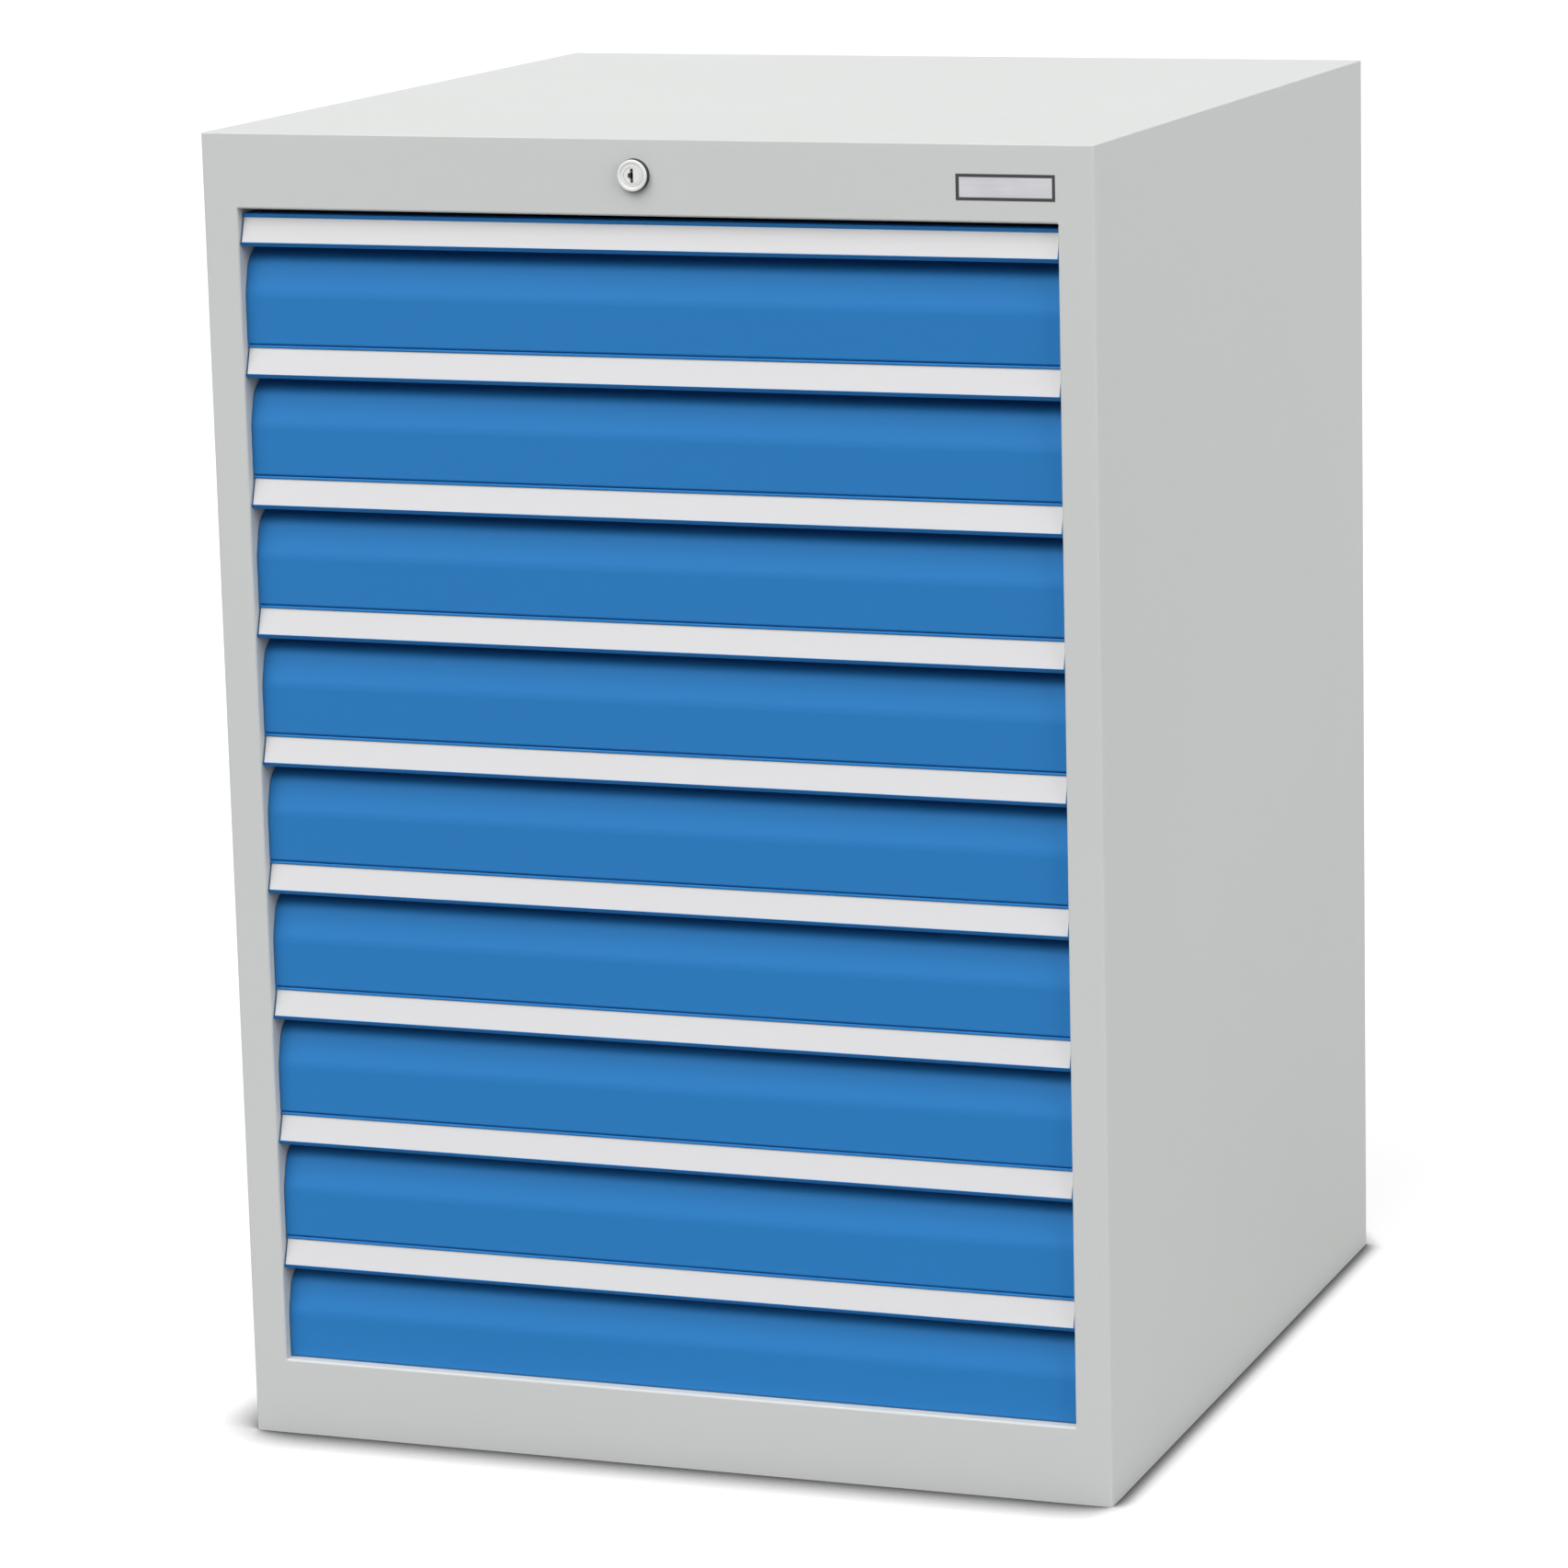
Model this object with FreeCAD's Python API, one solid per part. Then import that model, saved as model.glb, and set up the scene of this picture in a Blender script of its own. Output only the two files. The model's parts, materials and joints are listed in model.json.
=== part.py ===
"""Sheet-steel drawer cabinet: a welded casing, nine full-extension drawers and a central lock.

Millimetres. X runs to the right as seen from the front, Y towards the back and Z up.
The origin is in the middle of the footprint, on the floor. Drawer 1 is the top one.
"""
import FreeCAD, Part
import math
import os

V = FreeCAD.Vector

# Casing
WIDTH = 705.0
DEPTH = 736.0
HEADER = 57.0            # height of the panel above the drawers
PLINTH = 60.0            # height of the panel below the drawers
STILE = 28.0             # width of the frame beside the drawers
JAMB = 40.0              # how far the frame folds back beside the drawers
SHEET = 1.5
BEND = 2.5               # outer bend radius at the casing's corners
OPENING_BEND = 1.8       # outer bend radius round the drawer opening
TOP_FLANGE = 14.0
BACK_FLANGE = 12.0
HEADER_RETURN = 30.0
SILL_RETURN = 40.0
RETURN_LIP = 12.0        # at the rear of the sill
HEADER_LIP_GAP = 9.3     # from the lip behind the header up to the lock's barrel
BASE_SHEET = 2.0
BASE_FLANGE = 25.0
ANCHOR_HOLE = 11.0
ANCHOR_INSET = 60.0      # from the casing's outside to an anchor hole's centre

# Uprights that carry the slides
POST_DEPTH = 20.0
POST_SHEET = 1.5
POST_BEND = 2.0
POST_CLEARANCE = 1.5     # between the jamb's inner face and the upright's face
POST_SIDE_GAP = 0.6      # between an upright and the base pan's flange
FRONT_POST_GAP = 6.0     # between the lock bar and the front upright
REAR_POST_INSET = 3.0    # from the slides' rear ends to the rear uprights

# Drawers
DRAWERS = 9
PITCH = 100.0
FRONT_GAP = 1.5          # between one front and the next
SILL_GAP = 0.5           # under the lowest front
HEADER_GAP = 3.0         # over the highest front
SIDE_GAP = 1.0           # between a front's end and the jamb

# Section of a drawer front. Setbacks run from the casing's face towards the back.
FRONT_SHEET = 1.0
PANEL_SETBACK = 8.0
BOTTOM_RETURN = 16.0
FOOT_BEND = 2.0
SHOULDER_DROP = 66.0     # from the front's top edge to where the panel starts to lean back
SHOULDER_BEND = 30.0
SCOOP_DROP = 36.0        # from the front's top edge to where it leans back further
SCOOP_SETBACK = 18.4
SCOOP_BEND = 14.0
HOLLOW_DROP = 27.0       # from the front's top edge to the foot of the finger hollow
HOLLOW_SETBACK = 28.0
HOLLOW_BEND = 4.0
CEILING_BEND = 3.0
LIP_BEND = 2.5
LIP_HEIGHT = 25.6        # lower bead, label strip and upper bead together
LOWER_BEAD = 3.2
UPPER_BEAD = 3.0
BEAD_ROUNDING = 0.48     # nose radius as a share of the bead's height
UPPER_BEAD_PROUD = 1.1   # of the label strip's face
STRIP_SETBACK = 2.6      # of the strip's lower edge
STRIP_LEAN = 6.0         # how much further back its upper edge is
STRIP_SHEET = 0.8
STRIP_INSET = 0.5        # from the front's end to the strip's end
STRIP_GAP = 0.05         # round the strip

# Tray behind each front
TRAY_SHEET = 1.0
TRAY_OVERHANG = 1.0      # tray past the slides' rear ends
TRAY_LIFT = 12.0         # tray bottom above the front's lower edge
TRAY_DROP = 10.5         # tray rim below the front's upper edge
TRAY_BEND = 2.0
HEM = 8.0                # height of the doubled rim
CATCH_REACH = 9.5        # of the lock catch beside the tray
CATCH_HEIGHT = 10.0
CATCH_SHEET = 2.0

# Three-member slide; the members' near and far sides run inward from the upright's face
SLIDE_REAR_ROOM = 93.0   # from the slides' rear ends to the casing's back
SLIDE_JAMB_GAP = 3.0     # between the jamb and the slides' front ends
SLIDE_CLEARANCE = 1.5    # between a slide and the lock finger above it
SLIDE_SHEET = 1.2
OUTER_HALF = 22.5        # half heights of the three members
MIDDLE_HALF = 18.3
INNER_HALF = 14.1
OUTER_FAR = 8.5
MIDDLE_NEAR = 3.0
MIDDLE_FAR = 10.5
INNER_NEAR = 5.5
INNER_FAR = 12.7
CAGE_GAP = 0.3           # between a ball cage and the member that slides past it
CAGE_IN = 4.5
CAGE_WIDTH = 3.5
CAGE_LENGTH = 280.0

# Lock
LOCK_X = -2.0
LOCK_DROP = 12.7         # lock axis below the header panel's upper edge
ROSETTE_DIAMETER = 23.6
ROSETTE_PROUD = 5.0
ROSETTE_EDGE = 1.0
ROSETTE_RIM = 2.2
DISH_DEPTH = 0.6
DISH_SLOPE = 0.8
COLLAR_WALL = 1.5
COLLAR_RECESS = 0.2
BARREL_DIAMETER = 18.0
BARREL_CLEARANCE = 0.3
NUT_ACROSS = 24.0
NUT_THICKNESS = 4.0
PLUG_DIAMETER = 12.4
PLUG_CLEARANCE = 0.15
PLUG_RECESS = 0.4
PLUG_TAIL = 3.0          # plug behind the barrel
KEY_SLOT = 2.2
KEY_SLOT_HEIGHT = 10.4
KEY_SLOT_DEPTH = 8.0
KEY_DIMPLE = 4.4
KEY_DIMPLE_OFFSET = 1.1
CAM_SHEET = 3.0
CAM_HUB = 14.0
CAM_EYE = 7.0            # diameter round the crank pin
CRANK = 8.5              # from the lock axis to the crank pin
CRANK_START = -45.0      # degrees, from +X
CRANK_PIN = 4.0
CAM_SCREW = 8.0
CAM_SCREW_HEAD = 2.0
PIN_TIP = 2.0            # crank pin past the crossbar
SLOT_CLEARANCE = 0.6
CROSSBAR_GAP = 2.0       # between the cam's screw head and the crossbar
CROSSBAR_SHEET = 2.0
CROSSBAR_HEIGHT = 16.0
CROSSBAR_REACH = 14.0    # past the lock axis

# Lock bar beside the right-hand slides
BAR_SHEET = 2.0
BAR_WIDTH = 20.0
BAR_GAP = 1.5            # between the slides and the bar
BAR_JAMB_GAP = 4.0       # between the jamb and the bar's front edge
CAM_JAMB_GAP = 1.0       # between the jamb's rear edge and the cam, seen from the side
FINGER_REACH = 11.5
FINGER_HEIGHT = 10.0
FINGER_DROP = 4.0        # finger's top below the catch when unlocked
FINGER_GAP = 1.2         # between a finger and the catch behind it
GUIDE_CLEARANCE = 0.3
GUIDE_HEIGHT = 14.0
GUIDE_WALL = 2.7
GUIDE_FLOOR = 3.0
BAR_FOOT = 20.0          # bar's foot above the lowest front's lower edge

# Badge window in the header
BADGE_INSET = 1.6        # from the window's right edge to the jamb
BADGE_DROP = 17.4        # badge centre below the header panel's upper edge
BADGE_WIDTH = 75.5
BADGE_HEIGHT = 19.4
BADGE_GROOVE = 1.2
BADGE_SHEET = 1.0
BADGE_MARGIN = 3.5
BADGE_RECESS = 0.5

# Worked-out places
HALF = WIDTH / 2
FACE = -DEPTH / 2
BACK = DEPTH / 2
JAMB_X = HALF - STILE
OPENING_TOP = PLINTH + SILL_GAP + DRAWERS * PITCH - FRONT_GAP + HEADER_GAP
HEIGHT = OPENING_TOP + HEADER
SHOULDER_Z = HEIGHT - TOP_FLANGE
FRONT_HEIGHT = PITCH - FRONT_GAP
FRONT_HALF = JAMB_X - SIDE_GAP
WALL_X = HALF - SHEET
POST_FACE = JAMB_X + POST_CLEARANCE
POST_BACK = WALL_X - BASE_SHEET - POST_SIDE_GAP
SLIDE_FRONT = FACE + JAMB + SLIDE_JAMB_GAP
SLIDE_REAR = BACK - SLIDE_REAR_ROOM
TRAY_HALF = POST_FACE - INNER_FAR
TRAY_FRONT = FACE + HOLLOW_SETBACK + FRONT_SHEET
TRAY_REAR = SLIDE_REAR + TRAY_OVERHANG
BAR_X = POST_FACE + BAR_GAP
BAR_FRONT = FACE + JAMB + BAR_JAMB_GAP
CATCH_FRONT = BAR_FRONT + BAR_SHEET + FINGER_GAP
LOCK_Z = SHOULDER_Z - LOCK_DROP
CAM_FRONT = FACE + JAMB + CAM_JAMB_GAP
BARREL_END = CAM_FRONT - PLUG_TAIL
CROSSBAR_FRONT = CAM_FRONT + CAM_SHEET + CAM_SCREW_HEAD + CROSSBAR_GAP
CRANK_X = LOCK_X + CRANK * math.cos(math.radians(CRANK_START))
CRANK_Z = LOCK_Z + CRANK * math.sin(math.radians(CRANK_START))
BADGE_X = JAMB_X - BADGE_INSET - BADGE_WIDTH / 2
BADGE_Z = SHOULDER_Z - BADGE_DROP


def plan(u, v, w):
    """A point drawn in plan: u across, v back, w up."""
    return V(u, v, w)


def section(u, v, w):
    """A point drawn in a cross-section: u back, v up, w across."""
    return V(w, u, v)


def elevation(u, v, w):
    """A point drawn from the front: u across, v up, w back."""
    return V(u, w, v)


def box(x0, x1, y0, y1, z0, z1):
    """A block between two corners."""
    return Part.makeBox(x1 - x0, y1 - y0, z1 - z0, V(x0, y0, z0))


def rod(diameter, y0, y1, x, z):
    """A round bar along Y."""
    return Part.makeCylinder(diameter / 2, y1 - y0, V(x, y0, z), V(0, 1, 0))


def polygon(corners, view, start, end):
    """A straight-edged outline drawn in a view and carried from start to end."""
    loop = [view(u, v, start) for u, v in corners]
    face = Part.Face(Part.makePolygon(loop + loop[:1]))
    return face.extrude(view(0, 0, end) - view(0, 0, start))


def direction(a, b):
    """Unit step from a to b in a drawing."""
    length = math.hypot(b[0] - a[0], b[1] - a[1])
    return (b[0] - a[0]) / length, (b[1] - a[1]) / length


def shifted(points, thickness):
    """The line that runs a thickness to the right of a drawn line."""
    steps = [direction(a, b) for a, b in zip(points, points[1:])]
    normals = [(dv, -du) for du, dv in steps]
    befores = normals[:1] + normals
    afters = normals + normals[-1:]
    line = []
    for (u, v), n, m in zip(points, befores, afters):
        scale = thickness / (1 + n[0] * m[0] + n[1] * m[1])
        line.append((u + scale * (n[0] + m[0]), v + scale * (n[1] + m[1])))
    return line


def smooth_line(points, radii, view, start):
    """Edges of straight runs joined by tangent arcs of the given radii."""
    edges = []
    here = points[0]
    for before, corner, after, radius in zip(points, points[1:], points[2:], radii):
        a = direction(before, corner)
        b = direction(corner, after)
        half_turn = math.acos(max(-1.0, min(1.0, a[0] * b[0] + a[1] * b[1]))) / 2
        if radius < 0.01 or half_turn < 0.001:
            edges.append(Part.LineSegment(view(*here, start), view(*corner, start)).toShape())
            here = corner
            continue
        run = radius * math.tan(half_turn)
        sag = radius / math.cos(half_turn) - radius
        inward = direction((0, 0), (b[0] - a[0], b[1] - a[1]))
        first = (corner[0] - a[0] * run, corner[1] - a[1] * run)
        middle = (corner[0] + inward[0] * sag, corner[1] + inward[1] * sag)
        last = (corner[0] + b[0] * run, corner[1] + b[1] * run)
        edges.append(Part.LineSegment(view(*here, start), view(*first, start)).toShape())
        edges.append(Part.Arc(*(view(*p, start) for p in (first, middle, last))).toShape())
        here = last
    edges.append(Part.LineSegment(view(*here, start), view(*points[-1], start)).toShape())
    return edges


def folded(corners, thickness, view, start, end):
    """Sheet folded along a drawn line, its thickness to the right of the line.

    Each corner is (u, v, outer bend radius). The line is the sheet's one face.
    """
    points = [(u, v) for u, v, _ in corners]
    other = shifted(points, thickness)
    near = []
    far = []
    for before, corner, after, (_, _, radius) in zip(points, points[1:], points[2:], corners[1:]):
        a = direction(before, corner)
        b = direction(corner, after)
        turns_left = a[0] * b[1] - a[1] * b[0] > 0
        inner = max(radius - thickness, 0.0)
        near.append(inner if turns_left else radius)
        far.append(radius if turns_left else inner)
    there = smooth_line(points, near, view, start)
    back = smooth_line(other[::-1], far[::-1], view, start)
    tip = Part.LineSegment(view(*points[-1], start), view(*other[-1], start)).toShape()
    root = Part.LineSegment(view(*other[0], start), view(*points[0], start)).toShape()
    face = Part.Face(Part.Wire(there + [tip] + back + [root]))
    return face.extrude(view(0, 0, end) - view(0, 0, start))


def mirrored(shape):
    """The same piece on the other side of the cabinet."""
    return shape.mirror(V(0, 0, 0), V(1, 0, 0))


def joined(*shapes):
    """Pieces welded into one solid."""
    return shapes[0].fuse(list(shapes[1:])).removeSplitter()


def rounded_edges(shape, radius, chosen):
    """Round the straight edges whose middle passes a test."""
    edges = [e for e in shape.Edges if chosen(e.CenterOfMass, e.tangentAt(e.FirstParameter))]
    return shape.makeFillet(radius, edges)


def bent_at(level):
    """Test for a pan's folded edges: the upright ones and those at a level."""
    return lambda middle, along: abs(along.z) > 0.9 or abs(middle.z - level) < 0.01


def pan(x, y0, y1, z0, z1, thickness, bend, web_is_top):
    """A shallow sheet pan, its web at the top or at the bottom and its four walls folded."""
    past = thickness + 1.0
    low = z0 - past if web_is_top else z0 + thickness
    high = z1 - thickness if web_is_top else z1 + past
    outside = box(-x, x, y0, y1, z0, z1)
    inside = box(-x + thickness, x - thickness, y0 + thickness, y1 - thickness, low, high)
    outside = rounded_edges(outside, bend, bent_at(z1 if web_is_top else z0))
    inside = rounded_edges(inside, bend - thickness, bent_at(high if web_is_top else low))
    return outside.cut(inside)


def side_panel():
    """Right-hand wall, with the stile in front and the jamb folded back beside the drawers."""
    rear = (HALF, BACK - BACK_FLANGE, 0)
    corner = (HALF, FACE, BEND)
    plain = [rear, corner, (JAMB_X, FACE, 0)]
    with_jamb = [rear, corner, (JAMB_X, FACE, OPENING_BEND), (JAMB_X, FACE + JAMB, 0)]
    foot = folded(plain, SHEET, plan, 0, PLINTH)
    middle = folded(with_jamb, SHEET, plan, PLINTH, OPENING_TOP)
    head = folded(plain, SHEET, plan, OPENING_TOP, SHOULDER_Z)
    return joined(foot, middle, head)


def header_panel():
    """Panel above the drawers, with the lock's hole and the badge window."""
    line = [
        (FACE + HEADER_RETURN, LOCK_Z - BARREL_DIAMETER / 2 - HEADER_LIP_GAP, 0),
        (FACE + HEADER_RETURN, OPENING_TOP, OPENING_BEND),
        (FACE, OPENING_TOP, OPENING_BEND),
        (FACE, SHOULDER_Z, 0),
    ]
    panel = folded(line, SHEET, section, -JAMB_X, JAMB_X)
    hole = rod(BARREL_DIAMETER + 2 * BARREL_CLEARANCE, FACE - 1, FACE + SHEET + 1, LOCK_X, LOCK_Z)
    window = box(BADGE_X - BADGE_WIDTH / 2, BADGE_X + BADGE_WIDTH / 2, FACE - 1, FACE + SHEET + 1,
                 BADGE_Z - BADGE_HEIGHT / 2, BADGE_Z + BADGE_HEIGHT / 2)
    return panel.cut([hole, window])


def plinth_panel():
    """Panel below the drawers, folded back as the sill."""
    line = [
        (FACE, 0, 0),
        (FACE, PLINTH, OPENING_BEND),
        (FACE + SILL_RETURN, PLINTH, OPENING_BEND),
        (FACE + SILL_RETURN, PLINTH - RETURN_LIP, 0),
    ]
    return folded(line, SHEET, section, -JAMB_X, JAMB_X)


def top_panel():
    """Lid pan, welded flush on the casing."""
    return pan(HALF, FACE, BACK, SHOULDER_Z, HEIGHT, SHEET, BEND, True)


def back_panel():
    """Rear wall, its two edges folded forward to meet the side walls."""
    line = [
        (-HALF, BACK - BACK_FLANGE, 0),
        (-HALF, BACK, BEND),
        (HALF, BACK, BEND),
        (HALF, BACK - BACK_FLANGE, 0),
    ]
    return folded(line, SHEET, plan, 0, SHOULDER_Z)


def base_pan():
    """Floor of the casing, with four holes to bolt it down."""
    floor = pan(HALF - SHEET, FACE + SHEET, BACK - SHEET, 0, BASE_FLANGE, BASE_SHEET, BEND, False)
    x = HALF - ANCHOR_INSET
    y = BACK - ANCHOR_INSET
    holes = [
        Part.makeCylinder(ANCHOR_HOLE / 2, BASE_SHEET + 2, V(i * x, j * y, -1))
        for i in (-1, 1)
        for j in (-1, 1)
    ]
    return floor.cut(holes)


def uprights():
    """Four folded posts between the base and the lid."""
    posts = []
    front = BAR_FRONT + BAR_WIDTH + FRONT_POST_GAP
    rear = SLIDE_REAR - REAR_POST_INSET - POST_DEPTH
    for y in (front, rear):
        line = [
            (POST_BACK, y + POST_DEPTH, 0),
            (POST_BACK, y, POST_BEND),
            (POST_FACE, y, POST_BEND),
            (POST_FACE, y + POST_DEPTH, 0),
        ]
        post = folded(line, POST_SHEET, plan, BASE_SHEET, HEIGHT - SHEET)
        posts += [post, mirrored(post)]
    return Part.Compound(posts)


def front_low(number):
    """Height of a drawer front's lower edge."""
    return PLINTH + SILL_GAP + (DRAWERS - number) * PITCH


def slide_middle(number):
    """Height of the middle of a drawer's slides."""
    finger_low = catch_low(number) - FINGER_DROP - FINGER_HEIGHT
    return finger_low - SLIDE_CLEARANCE - OUTER_HALF


def channel(near, far, half, z, web_is_near):
    """One member of a slide on the right: a web and two flanges."""
    x0 = POST_FACE - far
    x1 = POST_FACE - near
    web = (x1 - SLIDE_SHEET, x1) if web_is_near else (x0, x0 + SLIDE_SHEET)
    return joined(
        box(*web, SLIDE_FRONT, SLIDE_REAR, z - half, z + half),
        box(x0, x1, SLIDE_FRONT, SLIDE_REAR, z - half, z - half + SLIDE_SHEET),
        box(x0, x1, SLIDE_FRONT, SLIDE_REAR, z + half - SLIDE_SHEET, z + half),
    )


def cabinet_rails():
    """The members that are fixed to the uprights."""
    rails = []
    for number in range(1, DRAWERS + 1):
        rail = channel(0, OUTER_FAR, OUTER_HALF, slide_middle(number), True)
        rails += [rail, mirrored(rail)]
    return Part.Compound(rails)


def middle_rails(number):
    """The members between the cabinet's and the drawer's, with their ball cages."""
    z = slide_middle(number)
    inside = MIDDLE_HALF - SLIDE_SHEET
    outer_cage = OUTER_HALF - SLIDE_SHEET - MIDDLE_HALF - CAGE_GAP
    inner_cage = inside - INNER_HALF - CAGE_GAP
    x1 = POST_FACE - CAGE_IN
    x0 = x1 - CAGE_WIDTH
    pieces = [channel(MIDDLE_NEAR, MIDDLE_FAR, MIDDLE_HALF, z, True)]
    for side in (-1, 1):
        behind = sorted((z + side * MIDDLE_HALF, z + side * (MIDDLE_HALF + outer_cage)))
        ahead = sorted((z + side * inside, z + side * (inside - inner_cage)))
        pieces.append(box(x0, x1, SLIDE_REAR - CAGE_LENGTH, SLIDE_REAR, *behind))
        pieces.append(box(x0, x1, SLIDE_FRONT, SLIDE_FRONT + CAGE_LENGTH, *ahead))
    return Part.Compound(pieces + [mirrored(piece) for piece in pieces])


def drawer_rails(number):
    """The members that are fixed to the tray."""
    rail = channel(INNER_NEAR, INNER_FAR, INNER_HALF, slide_middle(number), False)
    return Part.Compound([rail, mirrored(rail)])


def strip_face(z, top, behind=0.0):
    """Setback of the leaning label strip's face at a height, or of a face parallel to it."""
    height = LIP_HEIGHT - LOWER_BEAD - UPPER_BEAD
    slope = STRIP_LEAN / height
    low = top - LIP_HEIGHT + LOWER_BEAD
    return FACE + STRIP_SETBACK + slope * (z - low) + behind * math.hypot(1, slope)


def bead(y0, y1, z0, z1):
    """A full-width bar whose front is rounded."""
    bar = box(-FRONT_HALF, FRONT_HALF, y0, y1, z0, z1)
    nose = BEAD_ROUNDING * (z1 - z0)
    return rounded_edges(bar, nose, lambda p, along: abs(p.y - y0) < 0.01 and abs(along.x) > 0.9)


def drawer_front(number):
    """Pressed front: panel, scoop, finger hollow and the lip that carries the label strip."""
    low = front_low(number)
    top = low + FRONT_HEIGHT
    lip = top - LIP_HEIGHT
    ceiling = top - FRONT_SHEET
    holder = STRIP_SHEET + STRIP_GAP + FRONT_SHEET
    foot = lip + LOWER_BEAD / 2
    line = [
        (FACE + PANEL_SETBACK + BOTTOM_RETURN, low, 0),
        (FACE + PANEL_SETBACK, low, FOOT_BEND),
        (FACE + PANEL_SETBACK, top - SHOULDER_DROP, SHOULDER_BEND),
        (FACE + SCOOP_SETBACK, top - SCOOP_DROP, SCOOP_BEND),
        (FACE + HOLLOW_SETBACK, top - HOLLOW_DROP, HOLLOW_BEND),
        (FACE + HOLLOW_SETBACK, ceiling, CEILING_BEND),
        (strip_face(ceiling, top, holder), ceiling, LIP_BEND),
        (strip_face(foot, top, holder), foot, 0),
    ]
    skin = folded(line, FRONT_SHEET, section, -FRONT_HALF, FRONT_HALF)
    lower_rear = strip_face(lip + LOWER_BEAD, top, holder)
    lower = bead(FACE, lower_rear, lip, lip + LOWER_BEAD)
    upper_front = strip_face(top - UPPER_BEAD, top) - UPPER_BEAD_PROUD
    upper_rear = strip_face(top - UPPER_BEAD, top, holder)
    upper = bead(upper_front, upper_rear, top - UPPER_BEAD, top)
    return joined(skin, lower, upper)


def label_strip(number):
    """Plain strip that lies on the lip between its two beads."""
    top = front_low(number) + FRONT_HEIGHT
    z0 = top - LIP_HEIGHT + LOWER_BEAD + STRIP_GAP
    z1 = top - UPPER_BEAD - STRIP_GAP
    corners = [
        (strip_face(z0, top), z0),
        (strip_face(z1, top), z1),
        (strip_face(z1, top, STRIP_SHEET), z1),
        (strip_face(z0, top, STRIP_SHEET), z0),
    ]
    reach = FRONT_HALF - STRIP_INSET
    return polygon(corners, section, -reach, reach)


def catch_low(number):
    """Height of the lower edge of a tray's lock catch."""
    return front_low(number) + FRONT_HEIGHT - TRAY_DROP - CATCH_HEIGHT


def drawer_tray(number):
    """Open tray with a doubled rim and the catch that the lock bar holds."""
    z0 = front_low(number) + TRAY_LIFT
    z1 = front_low(number) + FRONT_HEIGHT - TRAY_DROP
    y0 = TRAY_FRONT
    y1 = TRAY_REAR

    def upright(point, along):
        return abs(along.z) > 0.9

    def inside(wall, low, high):
        hollow = box(-TRAY_HALF + wall, TRAY_HALF - wall, y0 + wall, y1 - wall, low, high)
        return rounded_edges(hollow, max(TRAY_BEND - wall, 0.5), upright)

    body = rounded_edges(box(-TRAY_HALF, TRAY_HALF, y0, y1, z0, z1), TRAY_BEND, upright)
    walls = inside(TRAY_SHEET, z0 + TRAY_SHEET, z1 - HEM)
    rim = inside(2 * TRAY_SHEET, z1 - HEM, z1 + 1)
    catch = box(TRAY_HALF, TRAY_HALF + CATCH_REACH, CATCH_FRONT, CATCH_FRONT + CATCH_SHEET,
                catch_low(number), catch_low(number) + CATCH_HEIGHT)
    return joined(body.cut([walls, rim]), catch)


def lock_housing():
    """Rosette and barrel of the lock, and the nut behind the header."""
    face = FACE - ROSETTE_PROUD
    brim = ROSETTE_DIAMETER / 2 - ROSETTE_RIM
    bore_diameter = PLUG_DIAMETER + 2 * PLUG_CLEARANCE
    rosette = rod(ROSETTE_DIAMETER, face, FACE, LOCK_X, LOCK_Z)
    rosette = rounded_edges(rosette, ROSETTE_EDGE, lambda p, along: abs(p.y - face) < 0.01)
    dish = Part.makeCone(brim, brim - DISH_SLOPE, DISH_DEPTH, V(LOCK_X, face, LOCK_Z), V(0, 1, 0))
    collar = rod(bore_diameter + 2 * COLLAR_WALL, face + COLLAR_RECESS, FACE, LOCK_X, LOCK_Z)
    barrel = rod(BARREL_DIAMETER, FACE, BARREL_END, LOCK_X, LOCK_Z)
    bore = rod(bore_diameter, face - 1, BARREL_END + 1, LOCK_X, LOCK_Z)
    housing = joined(rosette.cut(dish), collar, barrel).cut(bore)
    corner = NUT_ACROSS / 2 / math.cos(math.radians(30))
    corners = [
        (LOCK_X + corner * math.cos(math.radians(60 * k)),
         LOCK_Z + corner * math.sin(math.radians(60 * k)))
        for k in range(6)
    ]
    nut = polygon(corners, elevation, FACE + SHEET, FACE + SHEET + NUT_THICKNESS)
    thread = rod(BARREL_DIAMETER + 2 * PLUG_CLEARANCE, FACE, BARREL_END, LOCK_X, LOCK_Z)
    return Part.Compound([housing, nut.cut(thread)])


def lock_plug():
    """Turning plug with the key slot upright."""
    face = FACE - ROSETTE_PROUD + PLUG_RECESS
    plug = rod(PLUG_DIAMETER, face, CAM_FRONT, LOCK_X, LOCK_Z)
    slot = box(LOCK_X - KEY_SLOT / 2, LOCK_X + KEY_SLOT / 2, face - 1, face + KEY_SLOT_DEPTH,
               LOCK_Z - KEY_SLOT_HEIGHT / 2, LOCK_Z + KEY_SLOT_HEIGHT / 2)
    dimple = rod(KEY_DIMPLE, face - 1, face + KEY_SLOT_DEPTH, LOCK_X - KEY_DIMPLE_OFFSET, LOCK_Z)
    return plug.cut([slot, dimple])


def lock_cam():
    """Crank on the plug's tail, with its pin and its screw."""
    y1 = CAM_FRONT + CAM_SHEET
    return joined(
        rod(CAM_HUB, CAM_FRONT, y1, LOCK_X, LOCK_Z),
        rod(CAM_EYE, CAM_FRONT, y1, CRANK_X, CRANK_Z),
        rod(CRANK_PIN, CAM_FRONT, CROSSBAR_FRONT + CROSSBAR_SHEET + PIN_TIP, CRANK_X, CRANK_Z),
        rod(CAM_SCREW, y1, y1 + CAM_SCREW_HEAD, LOCK_X, LOCK_Z),
    )


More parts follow.
